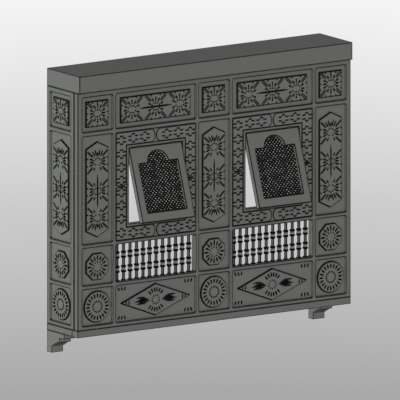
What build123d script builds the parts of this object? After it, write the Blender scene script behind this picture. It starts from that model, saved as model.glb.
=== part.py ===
"""A projecting timber window bay (mashrabiya) for the upper floor of a house.

The bay hangs on a wall: a boarded base on two stepped brackets, a framed front with
two side returns, carved panels, two baluster screens, two top-hung lattice sashes
held open, and a boxed cornice.  The back is open to the room behind.

Millimetres.  +Z is up, the wall face is the plane Y = 0 and the bay reaches towards
-Y.  The origin is the middle of the back face of the wall ledger in the base.
"""

import os
from math import cos, pi, sin

from build123d import *

# ---------------------------------------------------------------- frame sizes
corner_stile_width = 50.0
stile_width = 36.0
narrow_panel_width = 334.0
wide_panel_width = 877.0
front_thickness = 66.0
corner_quirk_width = 11.0
corner_quirk_depth = 7.0

side_stile_width = 50.0
side_panel_width = 334.0
side_thickness = 50.0

base_height = 63.0
base_beam_width = 90.0
ledger_thickness = 60.0
floor_thickness = 25.0
floor_rebate = 20.0
floor_board_count = 14
floor_board_gap = 3.0

bottom_rail_height = 37.0
roundel_row_height = 340.0
lower_rail_height = 36.0
octagon_row_height = 347.0
middle_rail_height = 34.0
window_row_height = 1000.0
upper_rail_height = 41.0
star_row_height = 322.0
top_rail_height = 47.0

cornice_height = 162.0
cornice_overhang = 30.0
cornice_board = 20.0

# ---------------------------------------------------------------- panel sizes
panel_recess = 15.0
panel_thickness = 18.0
plaque_set_back = 1.0
plaque_border = 42.0
triple_star_border = 53.0
hexagon_end_gap = 57.0
hexagon_shoulder = 63.0
octagon_across = 246.0
octagon_drop = 8.0
octagon_sides = 8
roundel_diameter = 290.0
lozenge_width = 764.0
lozenge_height = 296.0

# --------------------------------------------------------------- window sizes
surround_thickness = 24.0
border_side = 117.0
border_top = 125.0
border_bottom = 118.0
border_relief = 3.0
border_edge_gap = 2.0
border_end_gap = 14.0
border_end_depth = 40.0
border_side_end_gap = 2.0
border_side_end_depth = 28.0
casing_width = 25.0
head_stop_drop = 24.0
head_stop_thickness = 12.0

sash_thickness = 50.0
sash_side_clearance = 9.0
sash_bottom_clearance = 3.0
sash_set_back = 12.0
sash_open_angle = 18.9
sash_side_rail = 72.0
sash_bottom_rail = 87.0
sash_shoulder_height = 543.0
arch_radius = 114.0
arch_centre_drop = 8.0

lattice_pitch = 54.0
lattice_bar = 13.0
lattice_thickness = 16.0

hinge_length = 60.0
hinge_inset = 110.0
knuckle_radius = 5.0
knuckle_clearance = 0.3
leaf_depth = 35.0
leaf_thickness = 2.0
mortise_clearance = 0.5

# ------------------------------------------------------------- baluster sizes
baluster_pitch = 71.6
baluster_side_gap = 40.0
baluster_depth = 50.0
baluster_sides = 8
shaft_radius = 16.0
foot_radius = 25.0
foot_height = 16.0
collar_radius = 27.0
collar_height = 18.0
collar_pair_offset = 66.5
collar_half_spacing = 22.5

# -------------------------------------------------------------- bracket sizes
bracket_width = 125.0
bracket_steps = [(277.0, 45.0), (200.0, 45.0), (158.0, 15.0), (130.0, 15.0), (102.0, 15.0),
                 (75.0, 65.0)]      # reach, height

# ------------------------------------------------------------ derived layout
bay_width = (2 * corner_stile_width + 3 * narrow_panel_width
             + 2 * wide_panel_width + 4 * stile_width)
bay_depth = front_thickness + 2 * side_stile_width + side_panel_width
front_y = -bay_depth
frame_back_y = front_y + front_thickness
half_width = bay_width / 2
frame_half = half_width - corner_stile_width

base_bottom = -base_height / 2
base_top = base_bottom + base_height


def stack(start, *heights):
    """The (low, high) span of each height, one upon the other."""
    spans = []
    for height in heights:
        spans.append((start, start + height))
        start += height
    return spans


(bottom_rail_z, roundel_z, lower_rail_z, octagon_z, middle_rail_z,
 window_z, upper_rail_z, star_z, top_rail_z, cornice_z) = stack(
    base_top, bottom_rail_height, roundel_row_height, lower_rail_height,
    octagon_row_height, middle_rail_height, window_row_height,
    upper_rail_height, star_row_height, top_rail_height, cornice_height)

(_, narrow_1_x, stile_1_x, wide_1_x, stile_2_x, narrow_2_x,
 stile_3_x, wide_2_x, stile_4_x, narrow_3_x, _) = stack(
    -half_width, corner_stile_width, narrow_panel_width, stile_width,
    wide_panel_width, stile_width, narrow_panel_width, stile_width,
    wide_panel_width, stile_width, narrow_panel_width, corner_stile_width)

narrow_columns = [narrow_1_x, narrow_2_x, narrow_3_x]
wide_columns = {"left": wide_1_x, "right": wide_2_x}
front_stile_columns = [stile_1_x, stile_2_x, stile_3_x, stile_4_x]
panel_columns = [narrow_1_x, wide_1_x, narrow_2_x, wide_2_x, narrow_3_x]
side_panel_y = (-side_stile_width - side_panel_width, -side_stile_width)
outward = {"left": -1, "right": 1}


def middle(span):
    return (span[0] + span[1]) / 2


def length(span):
    return span[1] - span[0]


def block(x, y, z):
    """A squared timber that fills a (low, high) span along each axis."""
    place = Pos(middle(x), middle(y), middle(z))
    return place * Box(length(x), length(y), length(z))


# ---------------------------------------------------------------- base
def floor_boards():
    """Boards from front to back, in rebates of the front beam and the ledger."""
    inner = half_width - base_beam_width
    pitch = (2 * inner - floor_board_gap) / floor_board_count
    reach = (front_y + base_beam_width - floor_rebate, -ledger_thickness + floor_rebate)
    boards = []
    for number in range(floor_board_count):
        low = -inner + floor_board_gap + number * pitch
        boards.append(block((low, low + pitch - floor_board_gap), reach,
                            (base_top - floor_thickness, base_top)))
    return boards


def floor_seat():
    """The rebate that the floor boards lie in, cut from the beams around them."""
    inner = half_width - base_beam_width
    return block((-inner, inner),
                 (front_y + base_beam_width - floor_rebate, -ledger_thickness + floor_rebate),
                 (base_top - floor_thickness, base_top))


def base_pieces():
    inner = half_width - base_beam_width
    base_z = (base_bottom, base_top)
    beam_y = (front_y, front_y + base_beam_width)
    side_beam_y = (beam_y[1], 0)
    front_beam = block((-half_width, half_width), beam_y, base_z) - floor_seat()
    ledger = block((-inner, inner), (-ledger_thickness, 0), base_z) - floor_seat()
    side_beams = [block((-half_width, -inner), side_beam_y, base_z),
                  block((inner, half_width), side_beam_y, base_z)]
    return {
        "base_front_beam": [front_beam],
        "base_side_beams": side_beams,
        "wall_ledger": [ledger],
        "floor_boards": floor_boards(),
    }


def bracket(side):
    """A stepped bracket under the base, shorter at each step down the wall."""
    corners = [(0, 0)]
    drop = 0.0
    for reach, height in bracket_steps:
        corners += [(-reach, drop), (-reach, drop - height)]
        drop -= height
    corners.append((0, drop))
    outline = make_face(Polyline(*corners, close=True))
    low = half_width - bracket_width if side > 0 else -half_width
    return Pos(low, 0, base_bottom) * extrude(Plane.YZ * outline, bracket_width)


# --------------------------------------------------------------- frames
def corner_stile(side):
    """A corner stile with a quirk down its outer face, beside the side return."""
    full_z = (bottom_rail_z[0], top_rail_z[1])
    stile_x = sorted((side * frame_half, side * half_width))
    quirk_x = sorted((side * (half_width - corner_quirk_depth), side * half_width))
    quirk_y = (frame_back_y - corner_quirk_width, frame_back_y)
    return block(stile_x, (front_y, frame_back_y), full_z) - block(quirk_x, quirk_y, full_z)


def front_frame():
    """Stiles through the full height, with rails between them."""
    frame_y = (front_y, frame_back_y)
    inner_z = (bottom_rail_z[1], top_rail_z[0])
    corners = [corner_stile(side) for side in outward.values()]
    between = (-frame_half, frame_half)
    pieces = {
        "front_corner_stiles": corners,
        "front_stiles": [block(x, frame_y, inner_z) for x in front_stile_columns],
        "front_bottom_rail": [block(between, frame_y, bottom_rail_z)],
        "front_top_rail": [block(between, frame_y, top_rail_z)],
    }
    for name, z in [("front_lower_rails", lower_rail_z),
                    ("front_middle_rails", middle_rail_z),
                    ("front_upper_rails", upper_rail_z)]:
        pieces[name] = [block(x, frame_y, z) for x in panel_columns]
    return pieces


def side_frame(side):
    """Two stiles and five rails of a side return, behind the front frame."""
    inner = half_width - side_thickness
    x = (inner, half_width) if side > 0 else (-half_width, -inner)
    full_z = (bottom_rail_z[0], top_rail_z[1])
    stiles = [block(x, (frame_back_y, side_panel_y[0]), full_z),
              block(x, (side_panel_y[1], 0), full_z)]
    rails = [block(x, side_panel_y, z) for z in
             (bottom_rail_z, lower_rail_z, middle_rail_z, upper_rail_z, top_rail_z)]
    return stiles, rails


# --------------------------------------------------------------- panels
def front_cell(x, z):
    """A work plane on the front face, in the middle of a panel opening."""
    return Plane(origin=(middle(x), front_y, middle(z)), x_dir=(1, 0, 0), z_dir=(0, -1, 0))


def side_cell(side, z):
    """The same on a side return, with its local Y up."""
    origin = (side * half_width, middle(side_panel_y), middle(z))
    return Plane(origin=origin, x_dir=(0, side, 0), z_dir=(side, 0, 0))


def panel(width, height, plaque):
    """A recessed board with a raised plaque, on a plane at the frame's face."""
    board = extrude(Rectangle(width, height), panel_thickness)
    board = Pos(0, 0, -panel_recess - panel_thickness) * board
    raised = extrude(plaque, panel_recess - plaque_set_back)
    return board + Pos(0, 0, -panel_recess) * raised


def star_plaque(width, height, border):
    return Rectangle(width - 2 * border, height - 2 * plaque_border)


def hexagon_plaque(width, height):
    """A long hexagon with its points up and down."""
    half = width / 2 - plaque_border
    tip = height / 2 - hexagon_end_gap
    shoulder = tip - hexagon_shoulder
    return make_face(Polyline((0, tip), (half, shoulder), (half, -shoulder), (0, -tip),
                              (-half, -shoulder), (-half, shoulder), close=True))


def octagon_plaque():
    corner_radius = octagon_across / 2 / cos(pi / octagon_sides)
    octagon = RegularPolygon(corner_radius, octagon_sides, rotation=180 / octagon_sides)
    return Pos(0, -octagon_drop) * octagon


def roundel_plaque():
    return Circle(roundel_diameter / 2)


def lozenge_plaque():
    return make_face(Polyline((lozenge_width / 2, 0), (0, lozenge_height / 2),
                              (-lozenge_width / 2, 0), (0, -lozenge_height / 2), close=True))


def narrow_panel(kind, width, z):
    """One panel of the given row, for a front column or a side return."""
    height = length(z)
    plaques = {
        "star": lambda: star_plaque(width, height, plaque_border),
        "hexagon": lambda: hexagon_plaque(width, height),
        "octagon": octagon_plaque,
        "roundel": roundel_plaque,
    }
    return panel(width, height, plaques[kind]())


narrow_rows = {"star": star_z, "hexagon": window_z, "octagon": octagon_z,
               "roundel": roundel_z}


def panel_pieces():
    pieces = {}
    for kind, z in narrow_rows.items():
        pieces[f"{kind}_panels"] = [front_cell(x, z) * narrow_panel(kind, length(x), z)
                                    for x in narrow_columns]
    for name, side in outward.items():
        pieces[f"{name}_side_panels"] = [
            side_cell(side, z) * narrow_panel(kind, side_panel_width, z)
            for kind, z in narrow_rows.items()]
    for name, x in wide_columns.items():
        star = star_plaque(length(x), length(star_z), triple_star_border)
        star_panel = panel(length(x), length(star_z), star)
        lozenge_panel = panel(length(x), length(roundel_z), lozenge_plaque())
        pieces[f"triple_star_panel_{name}"] = [front_cell(x, star_z) * star_panel]
        pieces[f"lozenge_panel_{name}"] = [front_cell(x, roundel_z) * lozenge_panel]
    return pieces


# --------------------------------------------------------------- windows
def window_spans(x):
    """Spans of the casing's outside and of the window opening in one wide column."""
    casing_x = (x[0] + border_side, x[1] - border_side)
    casing_z = (window_z[0] + border_bottom, window_z[1] - border_top)
    opening_x = (casing_x[0] + casing_width, casing_x[1] - casing_width)
    opening_z = (casing_z[0] + casing_width, casing_z[1] - casing_width)
    return casing_x, casing_z, opening_x, opening_z


def rectangle_between(x, z):
    return Pos(middle(x), middle(z)) * Rectangle(length(x), length(z))


def rounded_end(tip, half_breadth, depth, direction):
    """The half ellipse that ends a carved border strip, its tip at the given point."""
    ellipse = Ellipse(depth, half_breadth) if direction[0] else Ellipse(half_breadth, depth)
    return Pos(tip[0] - direction[0] * depth, tip[1] - direction[1] * depth) * ellipse


def border_strip(outer_x, outer_z, inner_x, inner_z, across, up):
    """One L-shaped strip: a corner of the border with an arm along and an arm down.

    across and up are -1 or 1 and pick the corner.  Both arms end in half ellipses
    close to the middle of their side.
    """
    corner_x = outer_x[1] if across > 0 else outer_x[0]
    corner_z = outer_z[1] if up > 0 else outer_z[0]
    edge_x = inner_x[1] if across > 0 else inner_x[0]
    edge_z = inner_z[1] if up > 0 else inner_z[0]
    end_x = middle(outer_x) + across * border_end_gap / 2
    end_z = middle(outer_z) + up * border_side_end_gap / 2

    straight_x = end_x + across * border_end_depth
    straight_z = end_z + up * border_side_end_depth
    level_arm = rectangle_between(sorted((corner_x, straight_x)), sorted((corner_z, edge_z)))
    upright_arm = rectangle_between(sorted((corner_x, edge_x)), sorted((corner_z, straight_z)))
    level_end = rounded_end((end_x, (corner_z + edge_z) / 2), abs(corner_z - edge_z) / 2,
                            border_end_depth, (-across, 0))
    upright_end = rounded_end(((corner_x + edge_x) / 2, end_z), abs(corner_x - edge_x) / 2,
                              border_side_end_depth, (0, -up))
    return level_arm + upright_arm + level_end + upright_end


def window_surround(x):
    """A flush board around the window with four raised strips to carve."""
    casing_x, casing_z, _, _ = window_spans(x)
    board = rectangle_between(x, window_z) - rectangle_between(casing_x, casing_z)
    outer_x = (x[0] + border_edge_gap, x[1] - border_edge_gap)
    outer_z = (window_z[0] + border_edge_gap, window_z[1] - border_edge_gap)
    inner_x = (casing_x[0] - border_edge_gap, casing_x[1] + border_edge_gap)
    inner_z = (casing_z[0] - border_edge_gap, casing_z[1] + border_edge_gap)
    face = Plane(origin=(0, front_y, 0), x_dir=(1, 0, 0), z_dir=(0, -1, 0))
    solid = Pos(0, 0, -border_relief - surround_thickness) * extrude(board, surround_thickness)
    for across in (-1, 1):
        for up in (-1, 1):
            strip = border_strip(outer_x, outer_z, inner_x, inner_z, across, up)
            solid += Pos(0, 0, -border_relief) * extrude(strip, border_relief)
    return face * solid


def hinge_places(x):
    """The middle of each of the two hinges of the sash in one column."""
    opening_x = window_spans(x)[2]
    return [opening_x[0] + hinge_inset, opening_x[1] - hinge_inset]


def pin_line(x):
    """Y and Z of the hinge pin, just in front of the closed sash and under the head."""
    opening_z = window_spans(x)[3]
    pin_y = front_y + sash_set_back - knuckle_radius - knuckle_clearance
    return pin_y, opening_z[1] - leaf_thickness


def window_casing(x):
    """The plain lining of the window, with a mortise in its head for each hinge.

    A stop along the back of the head closes the gap over the sash.
    """
    casing_x, casing_z, opening_x, opening_z = window_spans(x)
    casing_y = (front_y, frame_back_y)
    ring = block(casing_x, casing_y, casing_z) - block(opening_x, casing_y, opening_z)
    pin_y, pin_z = pin_line(x)
    reach = knuckle_radius + mortise_clearance
    for place in hinge_places(x):
        half = hinge_length / 2 + mortise_clearance
        ring -= block((place - half, place + half), (front_y, pin_y + reach),
                      (opening_z[1], pin_z + reach))
    stop_y = (frame_back_y, frame_back_y + head_stop_thickness)
    return ring + block(casing_x, stop_y, (opening_z[1] - head_stop_drop, casing_z[1]))


def swung(x, solid):
    """Hang a piece that is drawn around the pin, with its sash shut, on the open sash."""
    pin_y, pin_z = pin_line(x)
    return Pos(middle(x), pin_y, pin_z) * Rot(X=-sash_open_angle) * solid


def sash_size(x):
    _, _, opening_x, opening_z = window_spans(x)
    width = length(opening_x) - 2 * sash_side_clearance
    height = length(opening_z) - 2 * leaf_thickness - sash_bottom_clearance
    return width, height


def sash_light(x):
    """The outline that the lattice fills: a rectangle with a round arch on top.

    It is drawn from the middle of the sash's bottom edge.
    """
    width, _ = sash_size(x)
    field = rectangle_between((-width / 2 + sash_side_rail, width / 2 - sash_side_rail),
                              (sash_bottom_rail, sash_shoulder_height))
    arch = Pos(0, sash_shoulder_height - arch_centre_drop) * Circle(arch_radius)
    return field + arch


def sash_plane(x, depth):
    """A plane across the shut sash at a depth behind its face, from the pin."""
    _, height = sash_size(x)
    face = knuckle_radius + knuckle_clearance
    return Plane(origin=(0, face + depth, -leaf_thickness - height),
                 x_dir=(1, 0, 0), z_dir=(0, -1, 0))


def sash_frame(x):
    width, height = sash_size(x)
    outline = rectangle_between((-width / 2, width / 2), (0, height)) - sash_light(x)
    return swung(x, sash_plane(x, sash_thickness) * extrude(outline, sash_thickness))


def sash_lattice(x):
    """Upright and level bars, fused where they cross and cut to the arched light."""
    width, height = sash_size(x)
    light_width = width - 2 * sash_side_rail
    bars = Sketch()
    columns = round(light_width / lattice_pitch)
    column_pitch = light_width / columns
    for number in range(1, columns):
        bar_x = -light_width / 2 + number * column_pitch
        bars += rectangle_between((bar_x - lattice_bar / 2, bar_x + lattice_bar / 2),
                                  (0, height))
    bar_z = sash_bottom_rail + column_pitch
    arch_top = sash_shoulder_height - arch_centre_drop + arch_radius
    while bar_z < arch_top - lattice_bar:
        bars += rectangle_between((-width / 2, width / 2),
                                  (bar_z - lattice_bar / 2, bar_z + lattice_bar / 2))
        bar_z += column_pitch
    depth = (sash_thickness + lattice_thickness) / 2
    return swung(x, sash_plane(x, depth) * extrude(bars & sash_light(x), lattice_thickness))


def hinge(x, place):
    """A butt hinge: one leaf under the head, one on the sash, and the knuckle."""
    pin_y, pin_z = pin_line(x)
    half = hinge_length / 2
    head_leaf = Pos(middle(x), pin_y, pin_z) * block((-half, half), (0, leaf_depth),
                                                     (0, leaf_thickness))
    sash_leaf = swung(x, block((-half, half), (0, leaf_depth), (-leaf_thickness, 0)))
    knuckle = Cylinder(knuckle_radius, hinge_length, rotation=(0, 90, 0))
    knuckle = Pos(middle(x), pin_y, pin_z) * knuckle
    return Pos(place - middle(x), 0, 0) * (head_leaf + sash_leaf + knuckle)


def window_pieces():
    pieces = {}
    for name, x in wide_columns.items():
        pieces[f"window_surround_{name}"] = [window_surround(x)]
        pieces[f"window_casing_{name}"] = [window_casing(x)]
        pieces[f"sash_frame_{name}"] = [sash_frame(x)]
        pieces[f"sash_lattice_{name}"] = [sash_lattice(x)]
        pieces[f"sash_hinges_{name}"] = [hinge(x, place) for place in hinge_places(x)]
    return pieces


# ------------------------------------------------------------- balusters
def baluster_profile(height):
    """(z, radius) at each change of form: a shaft on a flared foot, with two pairs of collars."""
    half_collar = collar_height / 2
    profile = [(0, foot_radius), (foot_height, shaft_radius)]
    for pair in (-collar_pair_offset, collar_pair_offset):
        for offset in (-collar_half_spacing, collar_half_spacing):
            centre = height / 2 + pair + offset
            profile += [(centre - half_collar, shaft_radius), (centre, collar_radius),
                        (centre + half_collar, shaft_radius)]
    profile.append((height, shaft_radius))
    return profile


def baluster(height):
    """A baluster of few sides, closed from flat faces between rings of corners."""
    angles = [2 * pi * number / baluster_sides for number in range(baluster_sides)]
    rings = [[Vector(radius * cos(angle), radius * sin(angle), z) for angle in angles]
             for z, radius in baluster_profile(height)]
    faces = [Face(Wire.make_polygon(rings[0][::-1])), Face(Wire.make_polygon(rings[-1]))]
    for lower, upper in zip(rings, rings[1:]):
        for side in range(baluster_sides):
            corners = [lower[side - 1], lower[side], upper[side], upper[side - 1]]
            faces.append(Face(Wire.make_polygon(corners)))
    return Solid(Shell(faces))


def baluster_screen(x):
    """As many balusters as the opening takes at their pitch, centred between its stiles."""
    count = 1 + int((length(x) - 2 * baluster_side_gap) / baluster_pitch)
    turned = baluster(length(octagon_z))
    first = middle(x) - (count - 1) * baluster_pitch / 2
    return [Pos(first + number * baluster_pitch, front_y + baluster_depth, octagon_z[0]) * turned
            for number in range(count)]


# --------------------------------------------------------------- cornice
def cornice_pieces():
    """A hollow box of boards: a soffit, a top and four boards on edge between them."""
    full_x = (-half_width, half_width)
    full_y = (front_y - cornice_overhang, 0)
    soffit_z = (cornice_z[0], cornice_z[0] + cornice_board)
    top_z = (cornice_z[1] - cornice_board, cornice_z[1])
    edge_z = (soffit_z[1], top_z[0])
    fascia_y = (full_y[0], full_y[0] + cornice_board)
    back_y = (-cornice_board, 0)
    inner = half_width - cornice_board
    ends_y = (fascia_y[1], 0)
    return {
        "cornice_soffit": [block(full_x, full_y, soffit_z)],
        "cornice_top": [block(full_x, full_y, top_z)],
        "cornice_fascia": [block(full_x, fascia_y, edge_z)],
        "cornice_ends": [block((-half_width, -inner), ends_y, edge_z),
                         block((inner, half_width), ends_y, edge_z)],
        "cornice_back_board": [block((-inner, inner), back_y, edge_z)],
    }


# ------------------------------------------------------------ all pieces
def all_pieces():
    pieces = base_pieces()
    for name, side in outward.items():
        pieces[f"bracket_{name}"] = [bracket(side)]
    pieces |= front_frame()
    for name, side in outward.items():
        pieces[f"{name}_side_stiles"], pieces[f"{name}_side_rails"] = side_frame(side)
    pieces |= panel_pieces()
    pieces |= window_pieces()
    for name, x in wide_columns.items():
        pieces[f"balusters_{name}"] = baluster_screen(x)
    pieces |= cornice_pieces()
    return pieces


os.makedirs("parts", exist_ok=True)
for node, solids in all_pieces().items():
    shape = solids[0] if len(solids) == 1 else Compound(children=list(solids))
    export_step(shape, f"parts/{node}.step")
    print(f"{node}: {len(solids)} solid(s)")
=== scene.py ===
# %% [markdown]
# # A projecting timber window bay
# A mashrabiya bay hangs on the wall of a house: a framed front with two side returns,
# carved panels, lattice sashes and turned balusters.  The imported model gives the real
# size and place of every piece.  This lesson adds what a carver, a turner and a painter
# would add, one piece of the bay at a time.

# %% Load the frame
from itertools import product
from math import cos, hypot, pi, radians, sin
from types import SimpleNamespace

import bmesh
import bpy
from mathutils import Matrix, Vector


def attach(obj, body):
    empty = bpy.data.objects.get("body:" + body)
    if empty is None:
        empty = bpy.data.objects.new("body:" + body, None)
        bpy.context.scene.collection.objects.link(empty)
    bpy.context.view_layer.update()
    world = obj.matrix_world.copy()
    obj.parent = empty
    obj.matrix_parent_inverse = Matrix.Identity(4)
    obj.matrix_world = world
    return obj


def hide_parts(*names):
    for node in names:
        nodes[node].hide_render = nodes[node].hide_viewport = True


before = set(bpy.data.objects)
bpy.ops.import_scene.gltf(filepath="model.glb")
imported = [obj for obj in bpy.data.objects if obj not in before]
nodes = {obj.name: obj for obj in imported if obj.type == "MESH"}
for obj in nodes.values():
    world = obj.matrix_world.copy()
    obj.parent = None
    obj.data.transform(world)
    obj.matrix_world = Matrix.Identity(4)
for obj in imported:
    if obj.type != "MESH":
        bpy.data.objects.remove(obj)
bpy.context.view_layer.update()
MM = 0.001

# %% [markdown]
# ## The camera
# A shop drawing of joinery is often shown without perspective, so that level rails stay
# parallel and can be measured.  An orthographic camera does that.  It stands to the left
# of the bay and a little above its middle, so one side return and the top of the cornice
# show as well.  Its distance doesn't change the picture; only its scale does.

# %% Camera
camera_turn = radians(34.09)
camera_rise = radians(10.84)
camera_distance = 5.0
camera_aim = Vector((-0.1561, -0.5, 1.1072))
camera_width = 3.643


def placed(name, data):
    """An object that shows a mesh or a camera, linked into the scene."""
    thing = bpy.data.objects.new(name, data)
    bpy.context.scene.collection.objects.link(thing)
    return thing


toward_camera = Vector((-sin(camera_turn) * cos(camera_rise),
                        -cos(camera_turn) * cos(camera_rise),
                        sin(camera_rise)))
camera_data = bpy.data.cameras.new("camera")
camera_data.type = "ORTHO"
camera_data.ortho_scale = camera_width
camera = placed("camera", camera_data)
camera.location = camera_aim + toward_camera * camera_distance
camera.rotation_euler = toward_camera.to_track_quat("Z", "Y").to_euler()
bpy.context.scene.camera = camera
bpy.context.scene.view_settings.view_transform = "Standard"
print("camera at", [round(c, 2) for c in camera.location])

# %% [markdown]
# ## Colours and nodes
# Paint colours are easiest to read as hex values, the way a paint card gives them.
# Shaders work with linear light, so one function converts them.  A second function adds
# a shader node with its settings and links in one line, which keeps each material short
# enough to read as a recipe, and a third one opens a new material.

# %% Colour and node helpers
def linear(hex_colour):
    """An sRGB hex colour as the linear RGBA that a shader works with."""
    channels = [int(hex_colour[i:i + 2], 16) / 255 for i in (1, 3, 5)]
    return [c / 12.92 if c <= 0.04045 else ((c + 0.055) / 1.055) ** 2.4
            for c in channels] + [1.0]


def add_node(tree, kind, inputs=None, **settings):
    """Add a node; an input that is a socket is linked, and any other is set."""
    node = tree.nodes.new("ShaderNode" + kind)
    for name, value in settings.items():
        setattr(node, name, value)
    for name, value in (inputs or {}).items():
        if isinstance(value, bpy.types.NodeSocket):
            tree.links.new(value, node.inputs[name])
        else:
            node.inputs[name].default_value = value
    return node


def new_tree(name):
    """A new material with nothing in it yet, and its node tree."""
    material = bpy.data.materials.new(name)
    material.use_nodes = True
    material.node_tree.nodes.clear()
    return material, material.node_tree


print("mid grey #808080 is", round(linear("#808080")[0], 3), "in linear light")

# %% [markdown]
# ## Painted shade along the edges
# Where two faces meet, a near-black line is painted in as shade: along each arris, and in
# the corner where a panel meets its frame, where a shadow line would fall.  It could be
# painted by hand on a UV map, but the Bevel node finds the places by itself.  It rounds
# the normal within a given distance of an edge, and where the rounded normal leaves the
# real one, there is an edge.  The lines are a little broader than on real joinery, so
# that they still show on a bay that is three metres wide.

# %% Painted edge shade
# near-black paint for painted shade: lines along edges, and under an open sash
painted_shade_colour = "#0b0c0b"
arris_reach = 17 * MM
shade_line_rays = 8
shade_line_start, shade_line_full = 0.9995, 0.993   # cosines between the rounded and the real normal


def edge_shade_mask(tree, reach):
    """From 0 on a flat to 1 at an arris or an inner corner, where the shade line is painted."""
    rounded = add_node(tree, "Bevel", {"Radius": reach}, samples=shade_line_rays)
    flat = add_node(tree, "NewGeometry")
    match = add_node(tree, "VectorMath", {0: rounded.outputs["Normal"],
                                          1: flat.outputs["True Normal"]},
                     operation="DOT_PRODUCT")
    spread = add_node(tree, "MapRange", {"Value": match.outputs["Value"],
                                         "From Min": shade_line_start, "From Max": shade_line_full})
    return spread.outputs["Result"]


# the grime printed here is the painted shade line along the edges
print("grime reaches", arris_reach / MM, "mm from an edge")

# %% [markdown]
# ## Where the paint differs
# Old paint isn't one colour all over, and light and shade are painted into it as well.
# Faces that look up are painted darker, as painted shade, the sides of an open sash are
# painted lighter, as painted light, and a painted shade lies under it.  Some random spots
# are rubbed thin.  Each could be masked by hand on a UV map, but the way that a face looks,
# or a pattern of random cells, gives the mask by itself.  A mask is 1 where the other colour
# lies and 0 elsewhere.

# %% Paint over paint
mix_factor, mix_a, mix_b, mix_result = 0, 6, 7, 2     # colour sockets of a Mix node
mix_value_a, mix_value_b, mix_value = 2, 3, 0         # and those for plain values
# darker paint for faces that look up: painted shade
top_shade_paint = "#494b48"
up_limit, aside_limit = 0.9, 0.5         # how far a face has to look up or down, or aside
worn_spot, worn_share = 14 * MM, 0.45


def painted_where(tree, paint, mask, colour):
    """The paint, under another colour wherever the mask is 1."""
    return add_node(tree, "Mix", {mix_factor: mask, mix_a: paint, mix_b: linear(colour)},
                    data_type="RGBA").outputs[mix_result]


def mask_of(tree, value, limit, operation="GREATER_THAN"):
    """1 where a value is past a limit, and 0 elsewhere."""
    return add_node(tree, "Math", {0: value, 1: limit}, operation=operation).outputs["Value"]


def painted_light_by_facing(tree, paint, lit_sides_paint):
    """The paint with painted shade on top and, with a side paint, painted light aside and shade under.
    """
    normal = add_node(tree, "NewGeometry").outputs["True Normal"]
    looks = add_node(tree, "SeparateXYZ", {"Vector": normal}).outputs
    # faces that look up are painted darker: painted shade
    paint = painted_where(tree, paint, mask_of(tree, looks["Z"], up_limit), top_shade_paint)
    # the sides of an open sash are painted lighter: painted light
    if lit_sides_paint:
        aside = add_node(tree, "Math", {0: looks["X"]}, operation="ABSOLUTE").outputs["Value"]
        paint = painted_where(tree, paint, mask_of(tree, aside, aside_limit), lit_sides_paint)
        # and its underside is painted near black: painted shade
        under = mask_of(tree, looks["Z"], -up_limit, "LESS_THAN")
        paint = painted_where(tree, paint, under, painted_shade_colour)
    return paint


def rubbed(tree, paint, place, worn_paint):
    """The paint, with random cells of it rubbed to another colour."""
    spot = add_node(tree, "TexVoronoi", {"Vector": place, "Scale": 1 / worn_spot})
    chance = add_node(tree, "SeparateColor", {"Color": spot.outputs["Color"]})
    worn = mask_of(tree, chance.outputs["Red"], worn_share, "LESS_THAN")
    return painted_where(tree, paint, worn, worn_paint)


print("a rubbed spot is", worn_spot / MM, "mm wide")

# %% [markdown]
# ## Painted timber
# The bay is hardwood under an old grey-green oil paint, brushed on and rubbed down, so
# it has a low sheen.  Brush marks and raised grain run along each member: up a stile,
# along a rail.  A noise that is stretched along one axis gives them.  It could follow a
# UV map, but the members are straight, so object coordinates in millimetres do the same
# job with less to keep.  Larger, softer patches of tone come from years of weather.

# %% Painted timber
paint_colour, paint_light = "#666865", "#6d6f6c"
brush_mark, brush_length = 5 * MM, 160 * MM
brush_height, brush_strength, brush_detail = 0.25 * MM, 0.5, 3.0
patch_size = 90 * MM
paint_roughness, paint_ior, paint_gloss = 0.62, 1.48, 0.12


def painted_timber(name, grain_axis, dark, light, reach=arris_reach, lit_sides_paint=None,
                   worn_paint=None, gloss=paint_gloss):
    """Oil paint on timber whose grain runs along the given axis, with painted light and shade."""
    material, tree = new_tree(name)
    place = add_node(tree, "TexCoord").outputs["Object"]
    stretch = [1 / brush_mark] * 3
    stretch[grain_axis] = 1 / brush_length
    along = add_node(tree, "Mapping", {"Vector": place, "Scale": stretch})
    brush = add_node(tree, "TexNoise", {"Vector": along.outputs["Vector"], "Scale": 1.0,
                                        "Detail": brush_detail})
    patch = add_node(tree, "TexNoise", {"Vector": place, "Scale": 1 / patch_size})
    tone = add_node(tree, "Mix", {mix_factor: 0.5, mix_value_a: brush.outputs["Fac"],
                                  mix_value_b: patch.outputs["Fac"]}).outputs[mix_value]
    paint = painted_where(tree, linear(dark), tone, light)
    paint = painted_light_by_facing(tree, paint, lit_sides_paint)
    if worn_paint:
        paint = rubbed(tree, paint, place, worn_paint)
    # a painted shade line along each arris and inner corner
    if reach:
        paint = painted_where(tree, paint, edge_shade_mask(tree, reach), painted_shade_colour)
    relief = add_node(tree, "Bump", {"Height": brush.outputs["Fac"],
                                     "Strength": brush_strength, "Distance": brush_height})
    finish = add_node(tree, "BsdfPrincipled", {"Base Color": paint,
                                               "Roughness": paint_roughness,
                                               "IOR": paint_ior, "Specular IOR Level": gloss,
                                               "Normal": relief.outputs["Normal"]})
    add_node(tree, "OutputMaterial", {"Surface": finish.outputs["BSDF"]})
    return material


painted = [painted_timber(f"oil_painted_timber_grain_{axis}", number, paint_colour, paint_light)
           for number, axis in enumerate("xyz")]
painted_x, painted_y, _ = painted
print("brush marks are", brush_mark / MM, "mm wide")
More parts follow.
